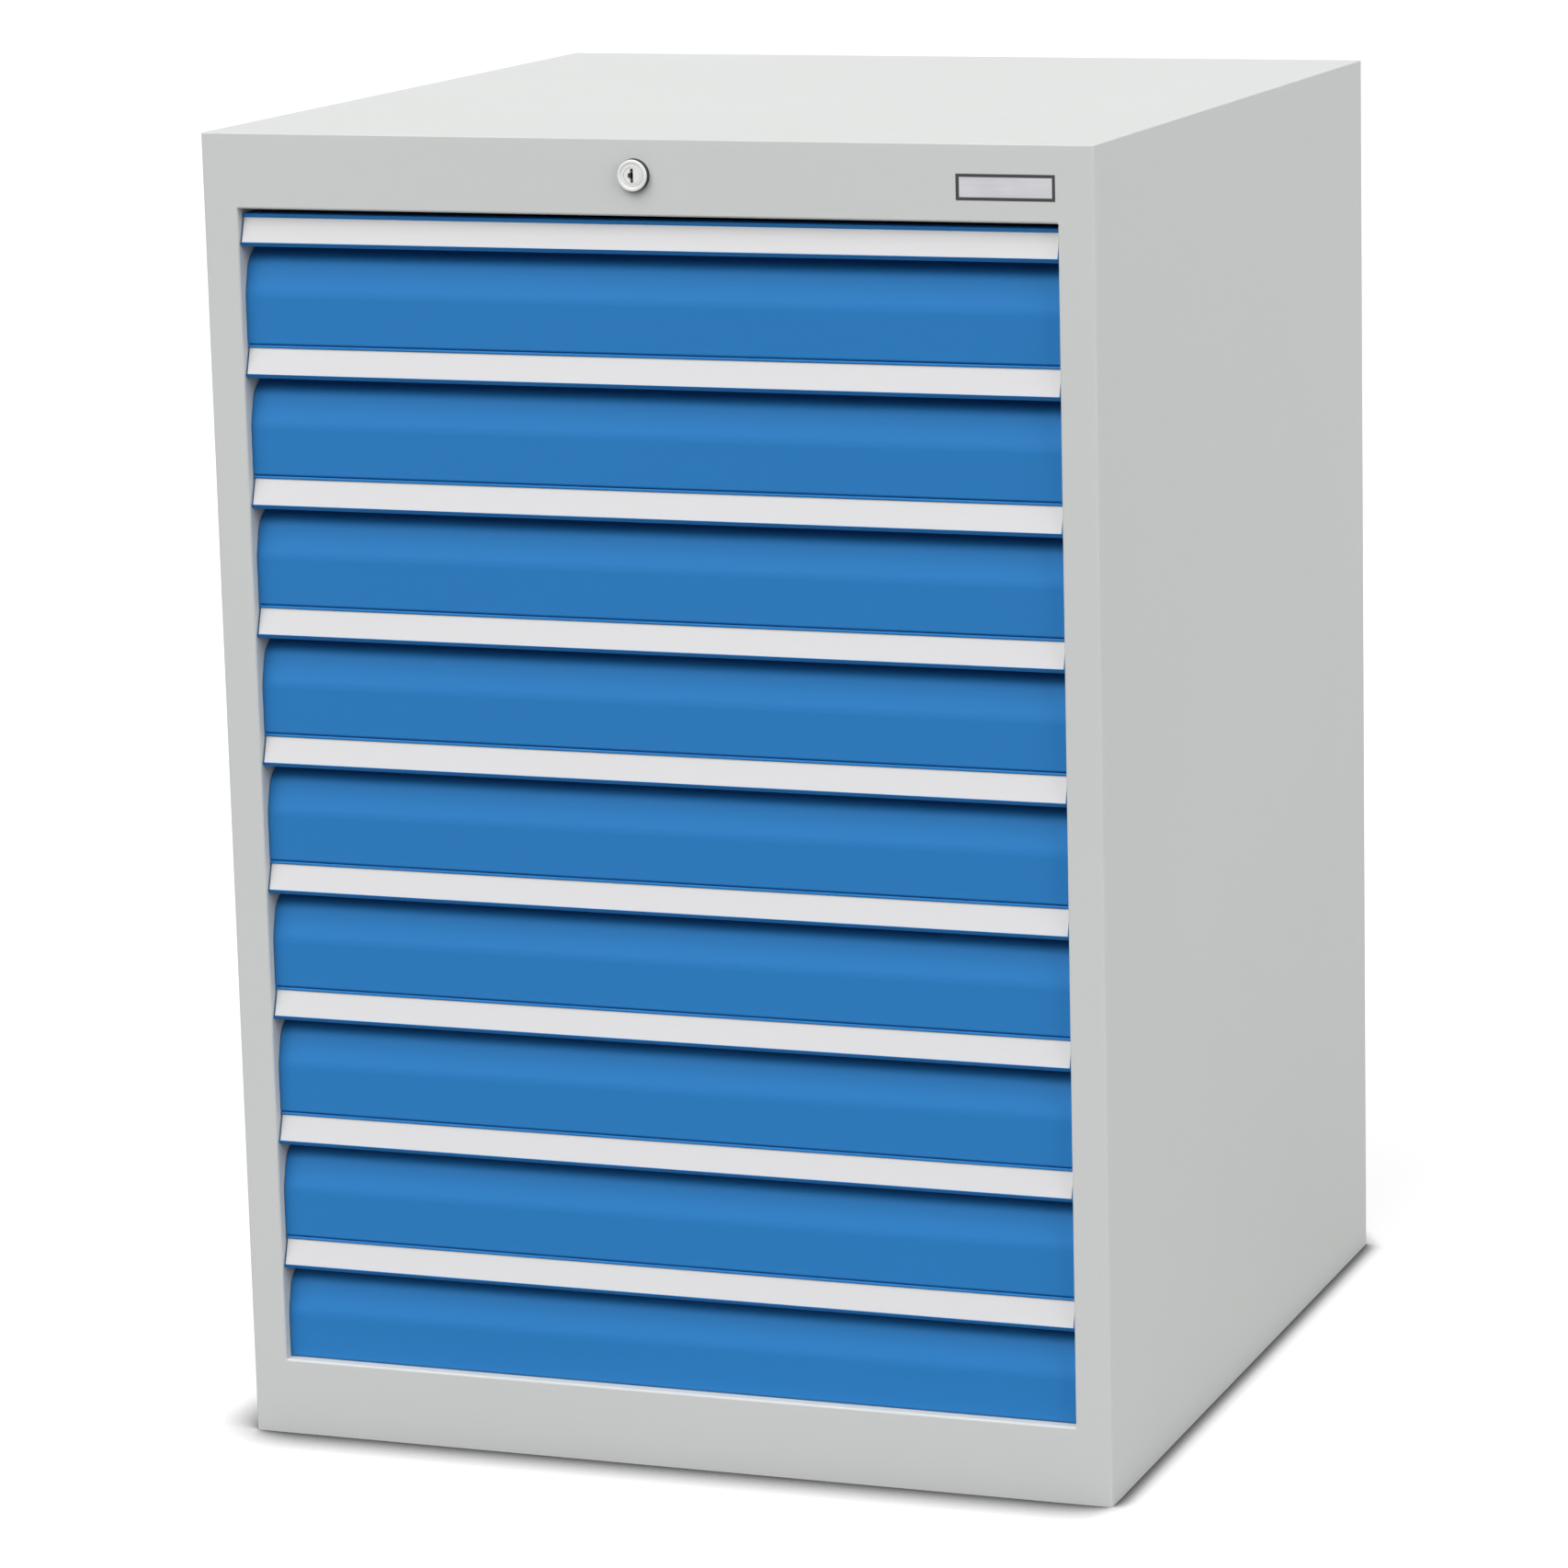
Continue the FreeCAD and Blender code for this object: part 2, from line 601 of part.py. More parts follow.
def crossbar():
    """Arm of the lock bar behind the header, with a level slot for the crank pin."""
    y0 = CROSSBAR_FRONT
    y1 = CROSSBAR_FRONT + CROSSBAR_SHEET
    half = CRANK_PIN / 2 + SLOT_CLEARANCE
    bar = box(LOCK_X - CROSSBAR_REACH, BAR_X, y0, y1,
              CRANK_Z - CROSSBAR_HEIGHT / 2, CRANK_Z + CROSSBAR_HEIGHT / 2)
    slot = box(CRANK_X - half, LOCK_X + CRANK + half, y0 - 1, y1 + 1, CRANK_Z - half, CRANK_Z + half)
    return bar.cut(slot)


def bar_foot():
    """Height of the lock bar's foot when unlocked."""
    return front_low(DRAWERS) + BAR_FOOT


def lock_bar():
    """Upright bar with one finger for each drawer, welded to its crossbar."""
    top = CRANK_Z + CROSSBAR_HEIGHT / 2
    upright = box(BAR_X, BAR_X + BAR_SHEET, BAR_FRONT, BAR_FRONT + BAR_WIDTH, bar_foot(), top)
    pieces = [crossbar(), upright]
    for number in range(1, DRAWERS + 1):
        finger_top = catch_low(number) - FINGER_DROP
        pieces.append(box(BAR_X - FINGER_REACH, BAR_X, BAR_FRONT, BAR_FRONT + BAR_SHEET,
                          finger_top - FINGER_HEIGHT, finger_top))
    return joined(*pieces)


def lock_bar_guides():
    """Three channels on the side wall that guide the bar; the lowest one is its stop."""
    y0 = BAR_FRONT - GUIDE_CLEARANCE - GUIDE_WALL
    y1 = BAR_FRONT + BAR_WIDTH + GUIDE_CLEARANCE + GUIDE_WALL
    lows = [
        bar_foot(),
        slide_middle(DRAWERS // 2 + 1) - GUIDE_HEIGHT / 2,
        slide_middle(1) - GUIDE_HEIGHT / 2,
    ]
    guides = []
    for low in lows:
        block = box(BAR_X, WALL_X, y0, y1, low, low + GUIDE_HEIGHT)
        way = box(BAR_X - 1, BAR_X + BAR_SHEET + GUIDE_CLEARANCE, y0 + GUIDE_WALL, y1 - GUIDE_WALL,
                  low - 1, low + GUIDE_HEIGHT + 1)
        guides.append(block.cut(way))
    floor = box(BAR_X, WALL_X, y0, y1, lows[0] - GUIDE_FLOOR, lows[0])
    guides[0] = joined(guides[0], floor)
    return Part.Compound(guides)


def badge_plate():
    """Blank plate behind the header whose raised middle nearly fills the window."""
    rear = FACE + SHEET
    wide = BADGE_WIDTH / 2 + BADGE_MARGIN
    tall = BADGE_HEIGHT / 2 + BADGE_MARGIN
    raised_wide = BADGE_WIDTH / 2 - BADGE_GROOVE
    raised_tall = BADGE_HEIGHT / 2 - BADGE_GROOVE
    behind = box(BADGE_X - wide, BADGE_X + wide, rear, rear + BADGE_SHEET,
                 BADGE_Z - tall, BADGE_Z + tall)
    raised = box(BADGE_X - raised_wide, BADGE_X + raised_wide, FACE + BADGE_RECESS, rear,
                 BADGE_Z - raised_tall, BADGE_Z + raised_tall)
    return joined(behind, raised)


def build():
    """Every sub-part by name."""
    right = side_panel()
    parts = {
        "right_side_panel": right,
        "left_side_panel": mirrored(right),
        "header_panel": header_panel(),
        "plinth_panel": plinth_panel(),
        "top_panel": top_panel(),
        "back_panel": back_panel(),
        "base_pan": base_pan(),
        "uprights": uprights(),
        "cabinet_rails": cabinet_rails(),
        "badge_plate": badge_plate(),
        "lock_housing": lock_housing(),
        "lock_plug": lock_plug(),
        "lock_cam": lock_cam(),
        "lock_bar": lock_bar(),
        "lock_bar_guides": lock_bar_guides(),
    }
    for number in range(1, DRAWERS + 1):
        parts[f"drawer_front_{number}"] = drawer_front(number)
        parts[f"label_strip_{number}"] = label_strip(number)
        parts[f"drawer_tray_{number}"] = drawer_tray(number)
        parts[f"drawer_rails_{number}"] = drawer_rails(number)
        parts[f"middle_rails_{number}"] = middle_rails(number)
    return parts


os.makedirs("parts", exist_ok=True)
for name, shape in build().items():
    shape.exportStep(f"parts/{name}.step")
    print(f"{name}: {len(shape.Solids)} solids, {shape.Volume / 1000:.1f} cm3, valid {shape.isValid()}")
print(f"height {HEIGHT:g}, opening {2 * JAMB_X:g} x {OPENING_TOP - PLINTH:g}")
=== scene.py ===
# %% [markdown]
# # A sheet-steel drawer cabinet, dressed for the camera
#
# The construction is already settled elsewhere: every panel, drawer, slide and lock piece comes in as a
# fixed mesh at its real size. This lesson gives those pieces their finishes, adds the small parts that only
# the eye needs, and sets up a plain studio. Each step is a cell that can be read on its own.

# %% Load the fixed frame
import json
import math

import bmesh
import bpy
from mathutils import Matrix, Vector


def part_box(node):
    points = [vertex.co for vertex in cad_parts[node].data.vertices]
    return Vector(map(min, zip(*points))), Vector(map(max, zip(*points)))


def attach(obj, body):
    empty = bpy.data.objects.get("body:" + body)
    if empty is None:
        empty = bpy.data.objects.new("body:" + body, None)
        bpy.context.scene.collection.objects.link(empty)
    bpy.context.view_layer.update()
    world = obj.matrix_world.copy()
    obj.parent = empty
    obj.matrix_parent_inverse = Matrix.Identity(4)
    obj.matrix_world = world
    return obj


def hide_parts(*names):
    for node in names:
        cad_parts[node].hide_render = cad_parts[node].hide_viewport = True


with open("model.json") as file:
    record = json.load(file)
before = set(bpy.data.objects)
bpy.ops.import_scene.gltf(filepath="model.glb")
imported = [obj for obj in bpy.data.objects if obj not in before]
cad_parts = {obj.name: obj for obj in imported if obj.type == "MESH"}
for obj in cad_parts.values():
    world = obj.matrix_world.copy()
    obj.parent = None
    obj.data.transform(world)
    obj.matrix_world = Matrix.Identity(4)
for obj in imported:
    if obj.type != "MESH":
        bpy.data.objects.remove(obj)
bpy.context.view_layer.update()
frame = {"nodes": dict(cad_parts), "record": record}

nodes = frame["nodes"]
record = frame["record"]

# %% [markdown]
# ## Units and the places that everything else is worked out from
#
# Blender works in metres here. Sizes on sheet metal are easier to read in millimetres, so one factor turns
# them into metres. A few small sizes can't be read from a box, such as the key slot's, and are written out
# in the step that uses them.

# %% Units and places
MM = 0.001
DRAWERS = sum(name.startswith("drawer_front_") for name in nodes)
FACE_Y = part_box("header_panel")[0].y
SIDE_WALL_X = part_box("right_side_panel")[1].x
plug_low, plug_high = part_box("lock_plug")
LOCK_X = (plug_low.x + plug_high.x) / 2
LOCK_Z = (plug_low.z + plug_high.z) / 2
print("drawers", DRAWERS, "face", round(FACE_Y, 4), "side wall", round(SIDE_WALL_X, 4))
print("lock", round(LOCK_X, 4), round(LOCK_Z, 4))

# %% [markdown]
# ## The camera
#
# A long lens a few metres away keeps the upright edges nearly parallel, as in a catalogue picture. The aim is
# given as a direction, because a direction and a place say everything about a view apart from its roll.
# `to_track_quat` turns the camera's own -Z axis, which is the way it looks, towards the aim with +Y up, and
# the roll is then a turn about the lens axis.

# %% Camera
CAMERA_PLACE = Vector((1.6290, -4.3824, 1.4218))
CAMERA_AIM = Vector((-0.31782, 0.92647, -0.20158))
CAMERA_ROLL = math.radians(-1.043)
SENSOR = 36.0
LENS = 135.23
FRAMING_SHIFT = -0.12
VIEW_END = 100.0

lens = bpy.data.cameras.new("camera")
lens.sensor_width = SENSOR
lens.lens = LENS
lens.shift_x = FRAMING_SHIFT
lens.clip_end = VIEW_END
camera = bpy.data.objects.new("camera", lens)
bpy.context.scene.collection.objects.link(camera)
turn = CAMERA_AIM.to_track_quat("-Z", "Y").to_matrix().to_4x4()
camera.matrix_world = Matrix.Translation(CAMERA_PLACE) @ turn @ Matrix.Rotation(CAMERA_ROLL, 4, "Z")
bpy.context.scene.camera = camera
print("camera", [round(v, 3) for v in camera.location], "lens", LENS)

# %% [markdown]
# ## Helpers for node trees
#
# A material is a tree of nodes joined by links. Writing `nodes.new` and `links.new` for each one hides what
# the tree does. So `add` makes a node, sets its options and fills its inputs: a number or colour is stored on
# the socket, and another node's output is linked to it. The four helpers below it stand for the nodes that
# come back most, and each gives back the socket that holds its result.

# %% Node helpers
UNIT_SPAN = (0.0, 1.0)
EVEN_ROUGHNESS = 0.5


def fill(tree, node, inputs):
    """Store numbers and colours on a node's inputs, and link other nodes' outputs to them."""
    for name, value in inputs.items():
        if isinstance(value, bpy.types.NodeSocket):
            tree.links.new(value, node.inputs[name])
        else:
            node.inputs[name].default_value = value


def add(tree, kind, inputs=None, **options):
    """A node in a tree, with its options set and its inputs filled."""
    node = tree.nodes.new(kind)
    for name, value in options.items():
        setattr(node, name, value)
    fill(tree, node, inputs or {})
    return node


def maths(tree, operation, first, second):
    """What an operation makes of two values."""
    return add(tree, "ShaderNodeMath", {0: first, 1: second}, operation=operation).outputs[0]


def remap(tree, value, span, result=UNIT_SPAN, **options):
    """A value moved from one span to another, and held at its ends."""
    return add(tree, "ShaderNodeMapRange", {"Value": value, "From Min": span[0], "From Max": span[1],
                                            "To Min": result[0], "To Max": result[1]}, **options).outputs[0]


def scaled(tree, colour, amount):
    """A colour made darker or paler by a factor."""
    return add(tree, "ShaderNodeVectorMath", {0: colour, "Scale": amount}, operation="SCALE").outputs[0]


def noise(tree, place, scale, detail, roughness=EVEN_ROUGHNESS):
    """A noise from 0 to 1, with so many waves in a metre."""
    return add(tree, "ShaderNodeTexNoise", {"Vector": place, "Scale": scale, "Detail": detail,
                                            "Roughness": roughness}).outputs["Fac"]


print("node helpers", [helper.__name__ for helper in (fill, add, maths, remap, scaled, noise)])

# %% [markdown]
# ## Floor and background
#
# The cabinet stands on a plain white floor in front of a white background. The floor is one large plane.
# Its surface is a matt pale grey that takes the cabinet's shadow, plus a light of its own that only the
# camera and reflections see. Together they come out white, while little light is thrown back up under the
# drawers' lips. Where something stands on it, an Ambient Occlusion node finds the crevice and darkens both,
# a painted contact shade that leaves the thin dark line where steel meets floor. This painted shade reaches
# farther in front than beside the wall.

# %% Floor
WHITE = (1, 1, 1, 1)
FLOOR_SIZE = 30.0
FLOOR_PALE = (0.25, 0.25, 0.25)
FLOOR_LIFT = 0.82
CONTACT_REACH_FRONT = 0.060
CONTACT_REACH_SIDE = 0.023
REACH_BLEND = 0.01
CONTACT_SAMPLES = 16
CONTACT_SPAN = (0.5, 0.94)
CONTACT_DARK = 0.06


def floor_material():
    """Matt pale grey with its own light, both darkened by painted contact shade near what stands on it."""
    material = bpy.data.materials.new("studio_floor")
    material.use_nodes = True
    tree = material.node_tree
    tree.nodes.clear()
    place = add(tree, "ShaderNodeTexCoord").outputs["Object"]
    across = add(tree, "ShaderNodeSeparateXYZ", {0: place}).outputs["X"]
    blend = (SIDE_WALL_X - REACH_BLEND, SIDE_WALL_X + REACH_BLEND)
    reach = remap(tree, across, blend, (CONTACT_REACH_FRONT, CONTACT_REACH_SIDE))
    # Painted contact shade: the crevice's occlusion darkens the floor's colour and its own light.
    open_sky = add(tree, "ShaderNodeAmbientOcclusion", {"Distance": reach}, samples=CONTACT_SAMPLES)
    painted_contact_shade = remap(tree, open_sky.outputs["AO"], CONTACT_SPAN, (CONTACT_DARK, 1.0))
    ray = add(tree, "ShaderNodeLightPath").outputs
    seen = maths(tree, "MAXIMUM", ray["Is Camera Ray"], ray["Is Glossy Ray"])
    shown = maths(tree, "MULTIPLY", seen, FLOOR_LIFT)
    strength = maths(tree, "MULTIPLY", shown, painted_contact_shade)
    matt = add(tree, "ShaderNodeBsdfDiffuse", {"Color": scaled(tree, FLOOR_PALE, painted_contact_shade)})
    glow = add(tree, "ShaderNodeEmission", {"Color": WHITE, "Strength": strength})
    both = add(tree, "ShaderNodeAddShader", {0: matt.outputs[0], 1: glow.outputs[0]})
    add(tree, "ShaderNodeOutputMaterial", {"Surface": both.outputs[0]})
    return material


sheet = bmesh.new()
bmesh.ops.create_grid(sheet, x_segments=1, y_segments=1, size=FLOOR_SIZE / 2)
floor_mesh = bpy.data.meshes.new("studio_floor")
sheet.to_mesh(floor_mesh)
sheet.free()
floor_mesh.materials.append(floor_material())
floor = bpy.data.objects.new("studio_floor", floor_mesh)
bpy.context.scene.collection.objects.link(floor)
print("floor", FLOOR_SIZE, "m square")

# %% [markdown]
# ## The sky
#
# The sky fills in the shades. It is white where the camera, a reflection or a clear piece sees it, and much
# dimmer for everything that it lights, so that the lamps can model the shape.

# %% World
SKY_FILL = 0.11

world = bpy.data.worlds.new("studio_sky")
bpy.context.scene.world = world
world.use_nodes = True
sky = world.node_tree
sky.nodes.clear()
ray = add(sky, "ShaderNodeLightPath").outputs
direct = maths(sky, "MAXIMUM", ray["Is Camera Ray"], ray["Is Transmission Ray"])
shows = maths(sky, "MAXIMUM", direct, ray["Is Glossy Ray"])
level = remap(sky, shows, UNIT_SPAN, (SKY_FILL, 1.0))
backing = add(sky, "ShaderNodeBackground", {"Color": WHITE, "Strength": level})
add(sky, "ShaderNodeOutputWorld", {"Surface": backing.outputs[0]})
bpy.context.scene.view_settings.view_transform = "Standard"
print("sky lights with", SKY_FILL, "of its white")

# %% [markdown]
# ## The light
#
# Soft light that is the same at the top and at the foot comes from far away. Area lamps would have to be huge
# and stand well back, so four sun lamps are used: a sun lights everything alike, and its angle says how big
# it looks from the cabinet, which is how soft its shadows are. The key is in front, high on the left, so that
# each drawer's lip throws a soft shade on its panel. A second one lights the right wall, and one overhead
# makes the top the palest face. The last one, low behind, lights the back. It is kept out of reflections,
# because from in front it would lay a bright sheen over one end of the lid.
#
# Each row of the table is a name, the direction of the lamp, its width in degrees and its power.

# %% Lamps
SUNS = (
    ("key_sun", (-0.45, -0.85, 0.90), 60, 2.50),
    ("side_sun", (0.90, -0.12, 0.42), 60, 2.12),
    ("top_sun", (0.0, -0.40, 1.0), 60, 0.94),
    ("rear_sun", (-0.55, 0.80, 0.02), 24, 1.30),
)
SUN_STAND_OFF = 4.0


def soft_sun(name, towards, spread, power):
    """A sun lamp that shines from a direction and looks as wide as its spread in degrees."""
    lamp = bpy.data.lights.new(name, "SUN")
    lamp.energy = power
    lamp.angle = math.radians(spread)
    holder = bpy.data.objects.new(name, lamp)
    holder.location = Vector(towards).normalized() * SUN_STAND_OFF
    holder.rotation_mode = "QUATERNION"
    holder.rotation_quaternion = Vector(towards).to_track_quat("Z", "Y")
    bpy.context.scene.collection.objects.link(holder)
    print("sun", name, power, "spread", spread)
    return holder


suns = [soft_sun(*row) for row in SUNS]
rear_sun = suns[-1]
rear_sun.visible_glossy = False
print("shows in gloss:", {sun.name: sun.visible_glossy for sun in suns})

# %% [markdown]
# ## Shared effects as node groups
#
# Several finishes share the same effects, so each effect is a node group: a box of nodes with named inputs
# and outputs that is built once and used with other numbers in each material. The shaders themselves stay
# in the materials, and a group only hands out colours, values and heights.

# %% Group helpers
FLOAT = "NodeSocketFloat"
COLOUR = "NodeSocketColor"
VECTOR = "NodeSocketVector"


def new_group(name, takes, gives):
    """An empty node group, the outputs of its first node, and its last node."""
    group = bpy.data.node_groups.new(name, "ShaderNodeTree")
    for label, kind in takes.items():
        group.interface.new_socket(name=label, in_out="INPUT", socket_type=kind)
    for label, kind in gives.items():
        group.interface.new_socket(name=label, in_out="OUTPUT", socket_type=kind)
    return group, group.nodes.new("NodeGroupInput").outputs, group.nodes.new("NodeGroupOutput")


def around_one(tree, drift):
    """The least and the greatest tone that a drift allows."""
    return maths(tree, "SUBTRACT", 1.0, drift), maths(tree, "ADD", 1.0, drift)


print("group helpers", [helper.__name__ for helper in (new_group, around_one)])

# %% [markdown]
# ### Powder coat
#
# Powder paint is sprayed on dry and melted, and it sets with a faint orange-peel skin a millimetre or two
# across. Its colour drifts very slightly over a panel. Three noises do this: a wide one and a very fine one
# nudge the tone, and one at the peel's own size gives its height and makes the gloss uneven.

# %% Powder coat group
CLOUD_SCALE = 2.3
CLOUD_DETAIL = 3.0
SPECK_SCALE = 1400.0
SPECK_DETAIL = 1.0
PEEL_DETAIL = 1.5
NOISE_SPAN = (0.3, 0.7)


def powder_coat_group():
    """Tone, gloss and peel of melted powder paint."""
    group, take, give = new_group(
        "powder coat",
        {"Place": VECTOR, "Colour": COLOUR, "Drift": FLOAT, "Peel Size": FLOAT, "Gloss Low": FLOAT,
         "Gloss High": FLOAT},
        {"Colour": COLOUR, "Roughness": FLOAT, "Height": FLOAT})
    clouds = noise(group, take["Place"], CLOUD_SCALE, CLOUD_DETAIL)
    specks = noise(group, take["Place"], SPECK_SCALE, SPECK_DETAIL)
    tones = around_one(group, take["Drift"])
    tone = remap(group, clouds, NOISE_SPAN, tones)
    speck = remap(group, specks, NOISE_SPAN, tones)
    tinted = scaled(group, take["Colour"], maths(group, "MULTIPLY", tone, speck))
    per_metre = maths(group, "DIVIDE", 1.0, take["Peel Size"])
    peel = noise(group, take["Place"], per_metre, PEEL_DETAIL)
    gloss = remap(group, peel, NOISE_SPAN, (take["Gloss Low"], take["Gloss High"]))
    fill(group, give, {"Colour": tinted, "Roughness": gloss, "Height": peel})
    return group


POWDER_COAT = powder_coat_group()
print("group", POWDER_COAT.name, "nodes", len(POWDER_COAT.nodes))

# %% [markdown]
# ### Dust
#
# Even a clean cabinet has a breath of dust on what faces up. The surface normal's upward part says how
# level a face is, and a noise breaks the film up. The mask then mixes in a paler, duller layer.

# %% Dust group
LEVEL_SPAN = (0.75, 1.0)
FILM_SCALE = 26.0
FILM_DETAIL = 6.0
FILM_ROUGHNESS = 0.65
FILM_SPAN = (0.35, 0.7)
DUST_COLOUR = (0.62, 0.61, 0.58, 1)
DUST_ROUGHNESS = 0.85


def dust_group():
    """A thin broken film on faces that look up."""
    group, take, give = new_group(
        "dust",
        {"Place": VECTOR, "Colour": COLOUR, "Roughness": FLOAT, "Amount": FLOAT},
        {"Colour": COLOUR, "Roughness": FLOAT})
    facing = add(group, "ShaderNodeNewGeometry").outputs["Normal"]
    upward = add(group, "ShaderNodeSeparateXYZ", {0: facing}).outputs["Z"]
    level = remap(group, upward, LEVEL_SPAN, interpolation_type="SMOOTHSTEP")
    film = noise(group, take["Place"], FILM_SCALE, FILM_DETAIL, FILM_ROUGHNESS)
    here = maths(group, "MULTIPLY", level, remap(group, film, FILM_SPAN))
    mask = maths(group, "MULTIPLY", here, take["Amount"])
    mixed = add(group, "ShaderNodeMix", {"Factor": mask, 6: take["Colour"], 7: DUST_COLOUR}, data_type="RGBA")
    dull = add(group, "ShaderNodeMix", {"Factor": mask, 2: take["Roughness"], 3: DUST_ROUGHNESS},
               data_type="FLOAT")
    fill(group, give, {"Colour": mixed.outputs[2], "Roughness": dull.outputs[0]})
    return group


DUST = dust_group()
print("group", DUST.name, "nodes", len(DUST.nodes))

# %% [markdown]
# ### Fine lines
#
# Plated strip, brushed plate and extruded plastic share one look: long fine lines along the way that the
# material was drawn or brushed. A noise that is stretched along one axis gives such lines, for the gloss, the
# tone and the height.

# %% Fine lines group
LINE_SCALE = 1800.0
LINE_DETAIL = 2.0
PATCH_SCALE = 45.0
PATCH_DETAIL = 3.0
SUM_SPAN = (0.7, 1.3)


def fine_lines_group():
    """Long fine lines along one axis."""
    group, take, give = new_group(
        "fine lines",
        {"Place": VECTOR, "Stretch": VECTOR, "Colour": COLOUR, "Drift": FLOAT, "Gloss Low": FLOAT,
         "Gloss High": FLOAT},
        {"Colour": COLOUR, "Roughness": FLOAT, "Height": FLOAT})
    along = add(group, "ShaderNodeVectorMath", {0: take["Place"], 1: take["Stretch"]}, operation="MULTIPLY")
    lines = noise(group, along.outputs[0], LINE_SCALE, LINE_DETAIL)
    patches = noise(group, take["Place"], PATCH_SCALE, PATCH_DETAIL)
    tones = around_one(group, take["Drift"])
    both = maths(group, "ADD", lines, patches)
    tinted = scaled(group, take["Colour"], remap(group, both, SUM_SPAN, tones))
    gloss = remap(group, both, SUM_SPAN, (take["Gloss Low"], take["Gloss High"]))
    fill(group, give, {"Colour": tinted, "Roughness": gloss, "Height": lines})
    return group


FINE_LINES = fine_lines_group()
print("group", FINE_LINES.name, "nodes", len(FINE_LINES.nodes))

# %% [markdown]
# ## Materials
#
# Each finish is one short function. It starts from a Principled BSDF, reads Object coordinates so that the
# pattern stays on the piece at its real scale, and passes them through the groups. Numbers that are the same
# all over, such as the shine, are stored on the shader's own sockets.

# %% Material helpers
def begin(name):
    """A new material's tree with its Principled shader and the piece's own coordinates."""
    material = bpy.data.materials.new(name)
    material.use_nodes = True
    tree = material.node_tree
    tree.nodes.clear()
    shader = add(tree, "ShaderNodeBsdfPrincipled")
    add(tree, "ShaderNodeOutputMaterial", {"Surface": shader.outputs[0]})
    place = add(tree, "ShaderNodeTexCoord").outputs["Object"]
    return material, tree, shader, place


def effect(tree, group, inputs):
    """The outputs of a node group placed in a material's tree."""
    return add(tree, "ShaderNodeGroup", inputs, node_tree=group).outputs


def surface(tree, shader, colour, roughness, height, depth):
    """Feed a shader its colour and gloss, and a height from 0 to 1 as bumps of a depth in metres."""
    bump = add(tree, "ShaderNodeBump", {"Height": height, "Distance": depth, "Strength": 1.0})
    fill(tree, shader, {"Base Color": colour, "Roughness": roughness, "Normal": bump.outputs[0]})


finishes = {}
print("material helpers", [helper.__name__ for helper in (begin, effect, surface)])

# %% [markdown]
# ### The painted steel
#
# Casing, fronts and trays are all powder coated, in different colours and with a little more or less gloss.
# One function makes all three, and the dust lies over the paint.

# %% Painted steel
CASING_GREY = (0.575, 0.590, 0.580, 1.0)
FRONT_BLUE = (0.022, 0.184, 0.480, 1.0)
TRAY_GREY = (0.50, 0.51, 0.505, 1.0)
PAINT_DRIFT = 0.012
PEEL_SIZE = 0.0017
PEEL_DEPTH = 0.000022
SMOOTHER = 0.05
ROUGHER = 0.07


def painted(name, colour, gloss, dust, shine):
    """Powder-coated sheet steel."""
    material, tree, shader, place = begin(name)
    coat = effect(tree, POWDER_COAT, {"Place": place, "Colour": colour, "Drift": PAINT_DRIFT,
                                      "Peel Size": PEEL_SIZE, "Gloss Low": gloss - SMOOTHER,
                                      "Gloss High": gloss + ROUGHER})
    film = effect(tree, DUST, {"Place": place, "Colour": coat["Colour"], "Roughness": coat["Roughness"],
                               "Amount": dust})
    surface(tree, shader, film["Colour"], film["Roughness"], coat["Height"], PEEL_DEPTH)
    shader.inputs["Specular IOR Level"].default_value = shine
    return material


finishes["body_grey"] = painted("casing_powder_coat", CASING_GREY, gloss=0.55, dust=0.10, shine=0.30)
finishes["front_blue"] = painted("front_powder_coat", FRONT_BLUE, gloss=0.58, dust=0.0, shine=0.15)
finishes["tray_grey"] = painted("tray_powder_coat", TRAY_GREY, gloss=0.55, dust=0.08, shine=0.35)
print("painted", sorted(finishes))

# %% [markdown]
# ### Surfaces with lines
#
# The label strips and the plated metals differ in colour and gloss, but both show lines along one axis. One
# function makes them, and a number says whether the surface is metal. A small factor in the stretch makes the
# pattern long along that axis.

# %% Lined surfaces
ALONG_X = (0.02, 1.0, 1.0)
ALONG_Y = (1.0, 0.02, 1.0)
NO_STRETCH = (1.0, 1.0, 1.0)


def lined(name, colour, gloss, stretch, drift, depth, metallic):
    """A surface with fine lines along one axis, between two glosses."""
    material, tree, shader, place = begin(name)
    smooth, rough = gloss
    lines = effect(tree, FINE_LINES, {"Place": place, "Stretch": stretch, "Colour": colour, "Drift": drift,
                                      "Gloss Low": smooth, "Gloss High": rough})
    surface(tree, shader, lines["Colour"], lines["Roughness"], lines["Height"], depth)
    shader.inputs["Metallic"].default_value = metallic
    return material


print("helper", lined.__name__)

# %% [markdown]
# ### The label strips
#
# A pale satin strip lies on each lip. It was drawn through a die, so it has very faint lines along its
# length.

# %% Label strip
STRIP_WHITE = (0.570, 0.568, 0.576, 1.0)
STRIP_STRETCH = (0.004, 0.4, 1.0)

finishes["label_strip"] = lined("label_strip_satin", STRIP_WHITE, gloss=(0.34, 0.44), stretch=STRIP_STRETCH,
                                drift=0.012, depth=0.000006, metallic=0.0)
print("strip", finishes["label_strip"].name)

# %% [markdown]
# ### The plated metals
#
# Slides, uprights and the lock bar are bright zinc, the lock is satin nickel, and the small plate in the
# header's window is brushed. All are fully metallic, so their colour is what they reflect.

# %% Plated metals
ZINC = (0.62, 0.64, 0.67, 1.0)
NICKEL = (0.55, 0.55, 0.545, 1.0)
BRUSHED = (0.47, 0.47, 0.495, 1.0)
METAL_DRIFT = 0.05

